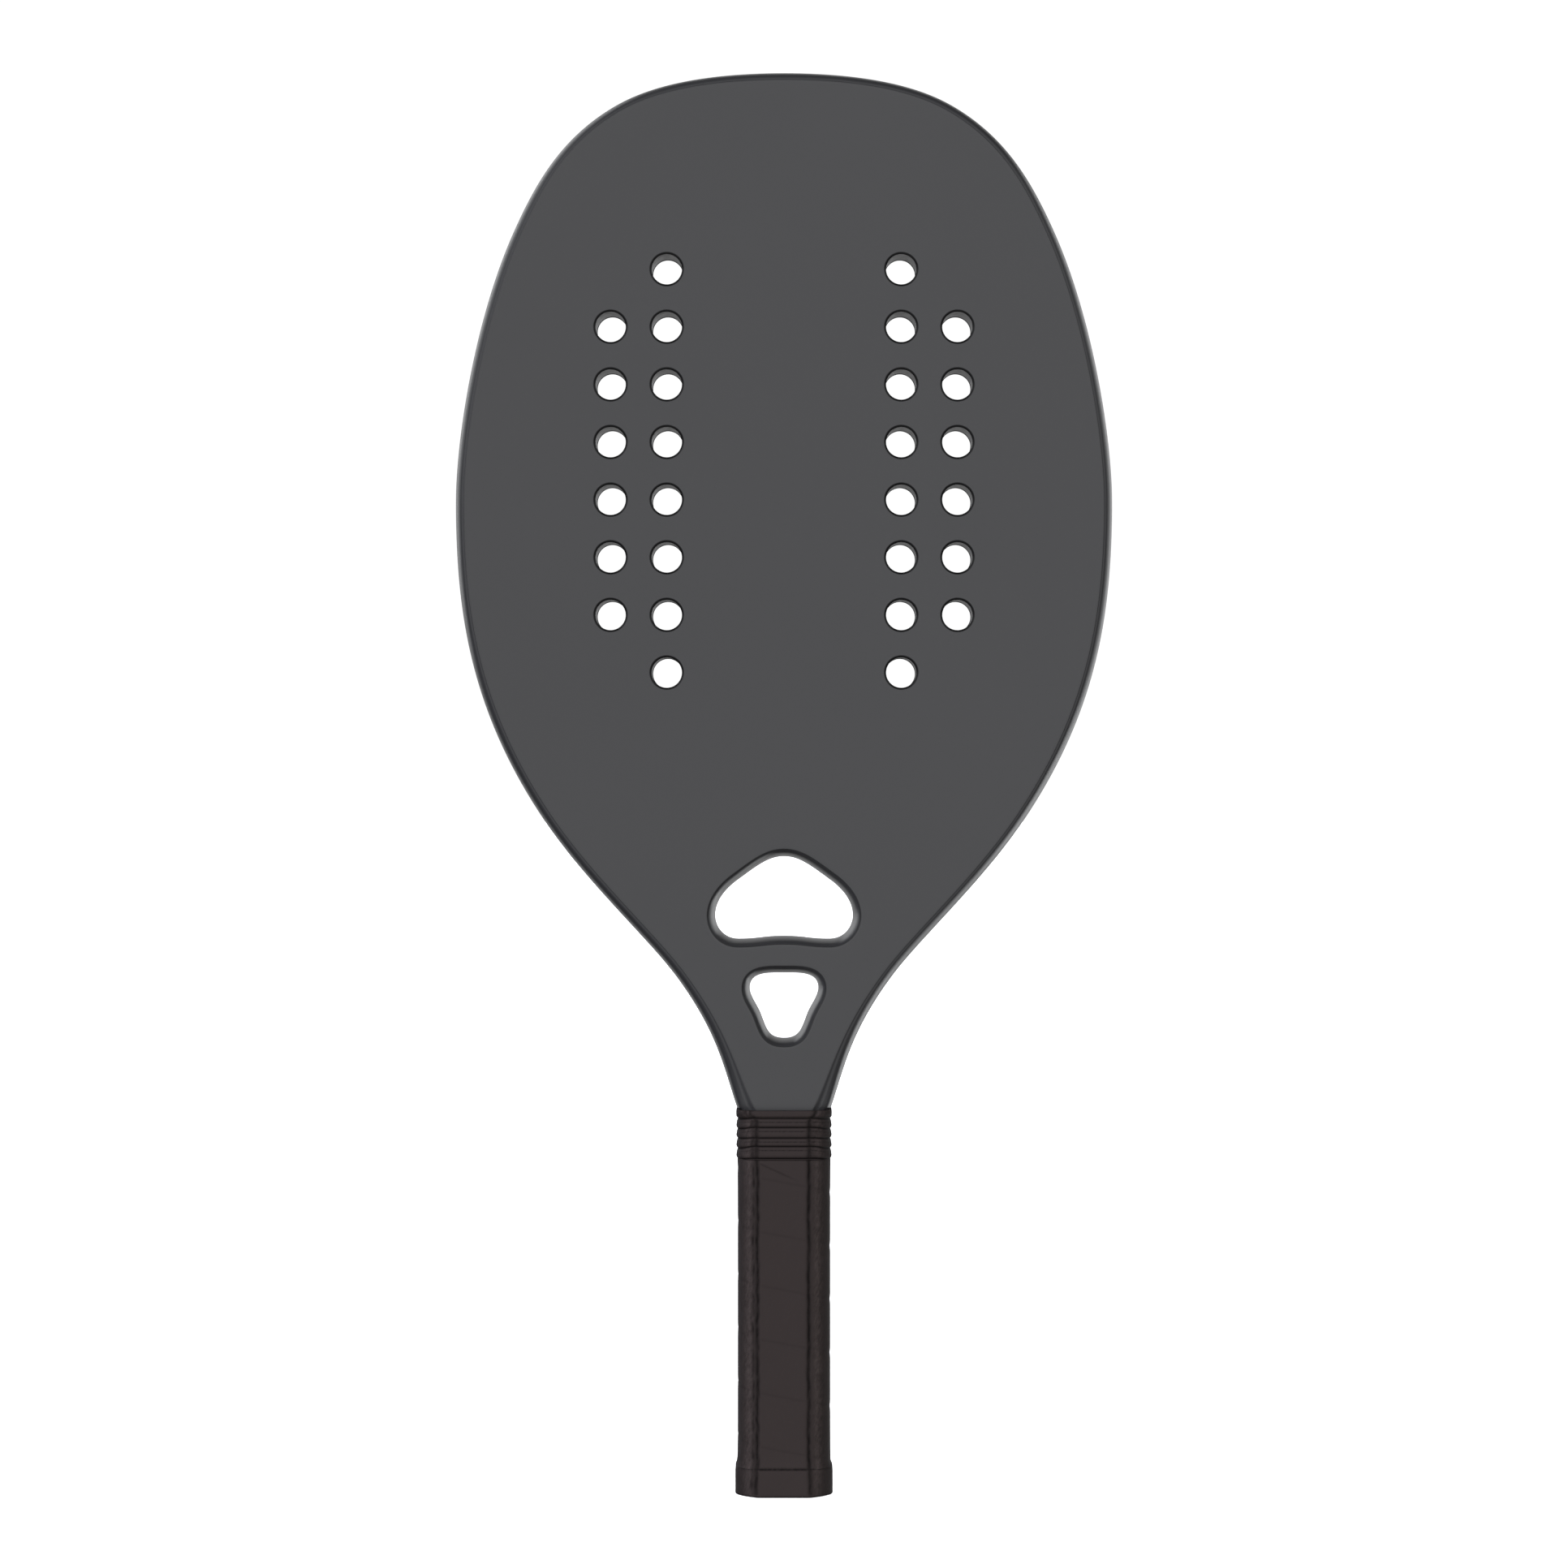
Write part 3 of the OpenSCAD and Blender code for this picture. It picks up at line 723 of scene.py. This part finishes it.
def corner_fold(line, z, spread=0.0):
    """How deep each point lies in a crease, from 0 to 1. The cover is pressed in along the front and rear
    corners, and on the left a shallower crease runs beside the first. The same value also sets painted shade."""
    x, y = line.T
    meander = np.where(x * y > 0, wave(z, 5.1, 2.3, 0.9), wave(z, 4.3, 2.9, 1.1))
    place = flat_half + np.where(x < 0, 0.6, -0.05) + spread + 0.25 * meander
    main = hump(abs(x) - place, 0.75)
    beside = hump(abs(x) - place - BESIDE, 0.6) * (0.55 + 0.3 * wave(z, 1.7, 0.8)) * (x < 0)
    return np.maximum(main, beside) * (abs(y) > side_half)


FOLD = 0.34  # depth of a fold
BESIDE = 1.45  # from a fold to the shallower one
FLAT_END, SLANT_START = 9.4, 11.5  # distances from the middle


def is_flat(line):
    """1 on the front and rear flats, and 0 on the other sides."""
    return 1 - smoothstep(FLAT_END, SLANT_START, abs(line[:, 0]))


def side_marks(line):
    """Marks for the leather: where it is on the slanting sides, and how strong a painted highlight is along
    their middles.
    """
    left = line[:, 0] * line[:, 1] > 0
    # the painted highlight's place and strength differ between the left and right slanting sides
    middle = flat_half + np.where(left, 0.45, 0.33) * (grip_hi[0] - flat_half)
    rubbed = np.where(left, 0.83, 1.03) * hump(abs(line[:, 0]) - middle, 1.9)
    return {"slant": 1 - is_flat(line), "rubbed": rubbed}


def with_ends(marks, count, before, after):
    """Marks for all the rows of a piece, which are 0 on the rows before and after the marked ones."""
    return {key: np.pad(np.ravel(v), (before * count, after * count)) for key, v in marks.items()}


def side_by_side(dicts):
    """One dictionary of lists from a list of dictionaries."""
    return {key: [d[key] for d in dicts] for key in dicts[0]}


# Grip band: a padded strip wound round the handle, pressed down along its seams
GRIP_AROUND, GRIP_ROWS = 264, 272
PITCH = 18.8
LEFT_SEAM = COLLAR_FOOT - 21.4
SEAM_DEPTH, SEAM_WIDTH, SLIT_DEPTH, SLIT_WIDTH = 0.14, 1.3, 0.05, 0.2
ON_FLATS = 0.2  # how much of a seam is left where the band is stretched flat
WRAP_END = ((-8.5, COLLAR_FOOT - 0.7), (5.4, COLLAR_FOOT - 7.0))  # where the band's cut end runs on the front
GRIP_THICK, SWELL = 2.0, 0.18
TUCK_TOP = COLLAR_FOOT + 2.4  # the band runs on, thinner, under the collar
LAP, LAP_OVER, ENDS, ENDS_OVER = 0.6, 1.3, 0.16, 7  # how it stands out at its ends, and over what height
END_DEPTH, FOOT_DEPTH, TOP_DEPTH = 0.08, 0.3, 0.3  # the creases at its cut end, its foot and its top


def grip_rows():
    share = np.arange(GRIP_AROUND) / GRIP_AROUND
    base = octagon(SWELL, GRIP_AROUND)
    away, flat, x = outward(base), is_flat(base), base[:, 0]
    (x0, z0), (x1, z1) = WRAP_END
    rows, seam, fold = [], [], []
    pressed = 1 - (1 - ON_FLATS) * flat
    for z in np.linspace(GRIP_FOOT, GRIP_TOP, GRIP_ROWS):
        turns = (z - LEFT_SEAM) / PITCH + share
        d = (turns - np.round(turns)) * PITCH
        dent = SEAM_DEPTH * hump(d, SEAM_WIDTH) + SLIT_DEPTH * hump(d, SLIT_WIDTH)
        end = hump(z - z0 - (x - x0) * (z1 - z0) / (x1 - x0), 0.3) * (base[:, 1] < -side_half)
        end *= smoothstep(x0 - 0.6, x0 + 0.6, x) * (1 - smoothstep(x1 - 6, x1 + 1, x))
        crease = corner_fold(base, z)
        foot, top = hump(z - GRIP_FOOT, 0.45) * flat, hump(GRIP_TOP - z, 0.4)
        flare = LAP * math.exp(-(z - GRIP_FOOT) / LAP_OVER)
        flare += ENDS * (math.exp(-(z - GRIP_FOOT) / ENDS_OVER) + math.exp(-(GRIP_TOP - z) / ENDS_OVER))
        out = flare - pressed * dent - END_DEPTH * end - FOLD * crease - FOOT_DEPTH * foot - TOP_DEPTH * top
        rows.append(level(base + away * out[:, None], z))
        # painted shade along the seams and along the band's cut end
        seam.append(np.maximum(0.12 * hump(d, 0.45), 0.45 * end))
        # painted shade in the corner creases, along the band's top and along its foot
        fold.append(np.maximum(np.maximum(crease, 0.8 * top * (1 - flat)), 0.9 * foot))
    marks = {k: np.tile(v, (len(rows), 1)) for k, v in side_marks(base).items()}
    return rows, {"seam": np.array(seam), "fold": np.array(fold), **marks}


rows, marks = grip_rows()
inner = octagon(-GRIP_THICK, GRIP_AROUND, 1.0, 2.0, bulge=0)
tucked = octagon(-1.2, GRIP_AROUND, 1.0, 3.0, bulge=0)
rows = [level(inner, GRIP_FOOT)] + rows
rows += [level(tucked, GRIP_TOP), level(tucked, TUCK_TOP), level(inner, TUCK_TOP)]
loft(
    "grip_band", rows, leather("grip_band_leather", GRIP, 1500), "grip_band", "grip_wrap",
    with_ends(marks, GRIP_AROUND, 1, 3), tube=True,
)

# Collar: four ribs that lean down over each other, under a plain band that widens towards the neck
COLLAR_AROUND, COLLAR_STEP = 200, 0.1
# Heights of the grooves above the collar's foot, which differ between its sides and its flats
SIDE_GROOVES = (0.4, 4.0, 7.6, 10.9, 14.5)
FRONT_GROOVES = (1.15, 5.3, 8.25, 11.95, 15.15)
LOW, HIGH, BAND = 0.05, 0.68, 0.72  # how far the grooves, the ribs and the band stand out past the octagon
RIB_CREST = 0.7  # share of the way down a rib
COLLAR_LINER = COLLAR_FOOT + 2.5
WIDEN, WIDEN_FROM = 2.2, COLLAR_FOOT + 13.6  # the band's corners move apart, from this height up
THIN_DEPTH, THIN_BELOW = 0.2, 1.35  # a thin line on the front of each rib, and how far below its groove
TOP_ROUND, TOP_IN = 0.5, 0.3  # height and inset of its rounded top edge


def collar_rows():
    rows, groove_shades, fold_shades, marks = [], [], [], []
    for z in np.arange(GRIP_TOP - 0.1, COLLAR_TOP + 0.01, COLLAR_STEP):
        widen = WIDEN * smoothstep(WIDEN_FROM, COLLAR_TOP - 0.4, z)
        line = octagon(0, COLLAR_AROUND, 1.4, 7.0, widen)
        away, front = outward(line), 1 - smoothstep(10.0, 17.0, abs(line[:, 0]))
        grooves = [COLLAR_FOOT + a + (b - a) * front for a, b in zip(SIDE_GROOVES, FRONT_GROOVES)]
        out = np.full(COLLAR_AROUND, BAND)
        dark, thin = np.zeros(COLLAR_AROUND), np.zeros(COLLAR_AROUND)
        for under, over in zip(grooves[:-1], grooves[1:]):
            down = (over - z) / (over - under)
            slope = np.where(down < RIB_CREST, 1 - down / RIB_CREST, (down - RIB_CREST) / (1 - RIB_CREST))
            out = np.where((down > 0) & (down <= 1), LOW + (HIGH - LOW) * (1 - slope**2), out)
            thin += hump(over - z - THIN_BELOW, 0.2) * front
        # painted shade along each groove
        for groove in grooves:
            dark = np.maximum(dark, hump(z - groove, 0.3))
        above = z - grooves[-1]
        out = np.where(above > 0, LOW + (BAND - LOW) * (1 - hump(above, 0.55)), out)
        thin *= 0.7 + 0.3 * np.sin(line[:, 0] * 5 + 3 * np.sin(z + line[:, 0]))
        out = out - THIN_DEPTH * thin - TOP_IN * (max(0.0, z - COLLAR_TOP + TOP_ROUND) / TOP_ROUND) ** 2
        crease = corner_fold(line, z, widen)
        rows.append(level(line + away * (out - 0.7 * FOLD * crease)[:, None], z))
        # painted shade in the grooves and on the thin lines
        groove_shades.append(np.maximum(dark, 0.7 * thin))
        # painted shade in the corner creases
        fold_shades.append(0.9 * crease)
        marks.append(side_marks(line))
    return rows, {"seam": groove_shades, "fold": fold_shades, **side_by_side(marks)}


def neck_outline(count, gap):
    """The frame's outline where the collar grips it, sampled at the collar's own angles."""
    x = legs[0][0]
    quarter = [(x - d + gap, y + gap) for d, y in soften(NECK_RIM, 2)]
    quarter += [(x - NECK_RIM[-1][0] - gap, HALF + gap), (0, HALF + gap)]
    q = np.array(quarter)
    ring = np.vstack([q, q[::-1] * [-1, 1], q * [-1, -1], q[::-1] * [1, -1]])
    angle = np.arctan2(ring[:, 1], ring[:, 0])
    order = np.argsort(angle)
    angle, radius = angle[order], np.linalg.norm(ring, axis=1)[order]
    want = octagon(0, count, 1.4, 7.0)
    want_angle = np.arctan2(want[:, 1], want[:, 0])
    r = np.interp(want_angle, angle, radius, period=2 * math.pi)
    return np.stack([r * np.cos(want_angle), r * np.sin(want_angle)], axis=1)


rows, marks = collar_rows()
neck_ring = neck_outline(COLLAR_AROUND, 0.1)
shelf = rows[-1][:, :2] * 0.25 + neck_ring * 0.75
inner = octagon(-0.9, COLLAR_AROUND, 1.5, 3.0, bulge=0)
rows += [level(shelf, COLLAR_TOP), level(neck_ring, COLLAR_TOP - 0.15), level(neck_ring, COLLAR_LINER + 0.1)]
rows += [level(inner, COLLAR_LINER), level(inner, COLLAR_FOOT)]
rows = [level(octagon(-0.4, COLLAR_AROUND, 1.5, 4.0, bulge=0), COLLAR_FOOT)] + rows
loft(
    "ribbed_collar", rows, leather("collar_rubber_grain", GRIP, 2200), "collar_rubber", "grip_collar",
    with_ends(marks, COLLAR_AROUND, 1, 5), tube=True,
)

# Butt cap: a flange with a sloping shoulder under the grip band, and a rounded end
CAP_AROUND = 200
FLANGE = cap_hi[0] - grip_hi[0]
CAP_FLOOR, SKIRT, SKIRT_INNER = 3.0, -2.0, -3.2  # a height, and two offsets from the grip's octagon
SEAL_BORE, SEAL_SEAT, SEAL_CHAMFER = 10.0, 7.0, 0.15
# The cap's outside from its end up to the band, as (height, how far it stands out past the grip)
CAP_PROFILE = [
    (0.1, -0.9), (0.0, -0.3), (0.03, 0.7), (0.35, 1.05), (1.0, FLANGE), (6.5, FLANGE), (8.2, FLANGE),
    (9.2, 0.98), (9.7, 0.85), (GRIP_FOOT, 0.74),
]


def ring_of(radius):
    """A circle whose points lie at the octagon's angles."""
    want = octagon(0, CAP_AROUND)
    angle = np.arctan2(want[:, 1], want[:, 0])
    return radius * np.stack([np.cos(angle), np.sin(angle)], axis=1)


rows, fold_shades, marks = [], [], []
for o, z in soften([(o, z) for z, o in CAP_PROFILE]):
    line = octagon(min(o, FLANGE), CAP_AROUND, 1.6, 7.0, bulge=0.6 * BULGE)
    crease = corner_fold(line, z, 0.5) * smoothstep(0.2, 1.5, z)
    lip = smoothstep(GRIP_FOOT - 0.7, GRIP_FOOT, z) * is_flat(line)
    rows.append(level(line - outward(line) * (FOLD * crease + 0.3 * lip)[:, None], max(z, 0.0)))
    # painted shade in the corner creases, at the lip under the band and along the rounded bottom edge
    fold_shades.append(np.maximum(np.maximum(0.9 * crease, 0.9 * lip), hump(z - 0.15, 0.5)))
    marks.append(side_marks(line))
marked = len(rows)
inner = octagon(SKIRT_INNER, CAP_AROUND, 0.6, 0.6, bulge=0)
skirt = octagon(SKIRT, CAP_AROUND, 1.0, 1.0, bulge=0)
rows += [level(skirt, z) for z in (GRIP_FOOT, cap_hi[2])] + [level(inner, z) for z in (cap_hi[2], CAP_FLOOR)]
rows += [level(ring_of(SEAL_SEAT), z) for z in (CAP_FLOOR, seal_hi[2])]
rows += [level(ring_of(SEAL_BORE), z) for z in (seal_hi[2], SEAL_CHAMFER)]
rows += [level(ring_of(SEAL_BORE + SEAL_CHAMFER), 0.0)]
marks = {"fold": fold_shades, **side_by_side(marks)}
loft(
    "butt_cap_moulding", rows, leather("butt_moulding_grain", GRIP, 1900), "butt_moulding", "butt_cap",
    with_ends(marks, CAP_AROUND, 0, len(rows) - marked), tube=True,
)

SEAL_PROFILE = [
    (0.001, 0.2), (5, 0.2), (8.6, 0.2), (9.6, 0.2), (9.9, 0.35), (9.9, 1.3), (6, 1.3), (0.001, 1.3),
]
rows = [level(r * circle(96), z) for r, z in SEAL_PROFILE]
loft("seal_disc", rows, moulding("seal_moulding_grain", shade(GRIP, 0.8), 0.3), "seal_moulding", "butt_seal")

# ---------------------------------------------- CAD nodes that stay, with real materials

KEPT = {
    "head_yoke": twill("bare_carbon_twill", (0.02, 0.02, 0.021)),
    "throat_core": foam("filler_foam_cells", (0.52, 0.5, 0.42), 900),
    "handle_pallet_front": foam("pallet_foam_cells", (0.62, 0.56, 0.42), 1400),
    "handle_pallet_rear": foam("pallet_foam_rear_cells", (0.62, 0.56, 0.42), 1400),
    "tube_plug_left": foam("plug_foam_cells", (0.02, 0.02, 0.02), 1600),
    "tube_plug_right": foam("plug_foam_right_cells", (0.02, 0.02, 0.02), 1600),
    "staple_front": wire(),
    "staple_rear": wire(),
    "finishing_tape": cloth_tape(),
}
for name, material in KEPT.items():
    nodes[name].material_slots[0].material = material

# ---------------------------------------------- stage, lights and camera

WHITE = (1.0, 1.0, 1.0)
FLOOR_RADIUS, FLOOR_GLOW = 30, 0.93


def make_floor():
    """A round pale floor that fades into the white behind it."""
    mesh = bpy.data.meshes.new("floor")
    work = bmesh.new()
    bmesh.ops.create_circle(work, cap_ends=True, segments=96, radius=FLOOR_RADIUS)
    work.to_mesh(mesh)
    work.free()
    floor = bpy.data.objects.new("floor", mesh)
    bpy.context.scene.collection.objects.link(floor)
    p = Paint("floor_white")
    p.shader.inputs["Emission Color"].default_value = (*WHITE, 1)
    p.shader.inputs["Emission Strength"].default_value = FLOOR_GLOW
    mesh.materials.append(p.done((0.9, 0.9, 0.9), 0.9, p.bump(p.noise(20, 2), 0.0001, 0.05)))
    floor.visible_glossy = floor.visible_diffuse = floor.visible_shadow = False


NEUTRAL, COOL = (0.97, 0.985, 1.0), (0.82, 0.87, 1.0)


def soft_sun(name, towards, strength, width, colour, fill=False):
    """A distant softbox. towards is the direction that it shines in, and width its angle across in degrees.
    A fill is so diffuse that nothing reflects it, and the others are only seen as reflections."""
    light = bpy.data.lights.new(name, "SUN")
    light.energy = strength
    light.angle = math.radians(width)
    light.color = colour
    lamp = bpy.data.objects.new(name, light)
    lamp.rotation_mode = "QUATERNION"
    lamp.rotation_quaternion = Vector(towards).to_track_quat("-Z", "Y")
    lamp.visible_diffuse, lamp.visible_glossy = fill, not fill
    bpy.context.scene.collection.objects.link(lamp)


FRONT_GLOW, BESIDE_GLOW, REAR_GLOW, BACKDROP = 1.36, 0.05, 0.75, 1.05


def make_world():
    """White for the camera. It lights the racket as a studio does, with broad soft light from in front, more
    of it from above, little from beside, and a white sweep behind."""
    world = bpy.data.worlds.new("studio")
    n = Nodes(world, "Generated")
    y, z = n.axis("Y"), n.axis("Z")
    front = n.span(y, -0.92, -0.42, FRONT_GLOW, BESIDE_GLOW, "SMOOTHSTEP")
    front = n.maths("MULTIPLY", front, n.span(z, -1, 1, 0.8, 1.2))
    rear = n.span(y, 0.62, 0.95, 0, REAR_GLOW, "SMOOTHSTEP")
    room, backdrop = n.add("ShaderNodeBackground"), n.add("ShaderNodeBackground")
    n.feed(room.inputs["Strength"], n.maths("ADD", front, rear))
    n.feed(backdrop.inputs["Color"], WHITE)
    n.feed(backdrop.inputs["Strength"], BACKDROP)
    seen = n.add("ShaderNodeLightPath").outputs["Is Camera Ray"]
    mix = n.add("ShaderNodeMixShader")
    for socket, value in zip(mix.inputs, (seen, room.outputs[0], backdrop.outputs[0])):
        n.feed(socket, value)
    n.feed(n.add("ShaderNodeOutputWorld").inputs["Surface"], mix.outputs[0])
    bpy.context.scene.world = world


make_floor()
make_world()
soft_sun("left_fill", (0.75, 0.65, -0.35), 2.05, 40, COOL, fill=True)
soft_sun("right_fill", (-0.2, 0.97, -0.35), 1.15, 40, NEUTRAL, fill=True)
soft_sun("left_rear_fill", (0.5, -0.86, -0.1), 2.6, 40, COOL, fill=True)
soft_sun("right_rear_fill", (-0.5, -0.86, -0.1), 2.6, 40, NEUTRAL, fill=True)
soft_sun("left_rear_box", (1, -0.75, -0.55), 0.8, 64, NEUTRAL)
soft_sun("right_rear_box", (-1, -0.75, 0), 0.75, 64, NEUTRAL)
soft_sun("low_right_box", (-0.8, -0.6, 0.8), 0.75, 50, NEUTRAL)
soft_sun("left_front_box", (0.85, 0.35, -0.45), 0.2, 50, NEUTRAL)
soft_sun("right_front_box", (-0.85, 0.35, -0.45), 0.14, 50, NEUTRAL)

CAMERA_DISTANCE, CAMERA_LEVEL = 1.690, 0.4995  # in metres, and as a share of the racket's height
camera_data = bpy.data.cameras.new("camera")
camera_data.sensor_width = 36
camera_data.lens = 110
camera_data.clip_end = 100
camera = bpy.data.objects.new("camera", camera_data)
camera.location = (0, -CAMERA_DISTANCE, (cad_box[0].z + cad_box[1].z) * CAMERA_LEVEL)
camera.rotation_euler = (math.pi / 2, 0, 0)
bpy.context.scene.collection.objects.link(camera)
bpy.context.scene.camera = camera
bpy.context.scene.view_settings.view_transform = "Standard"
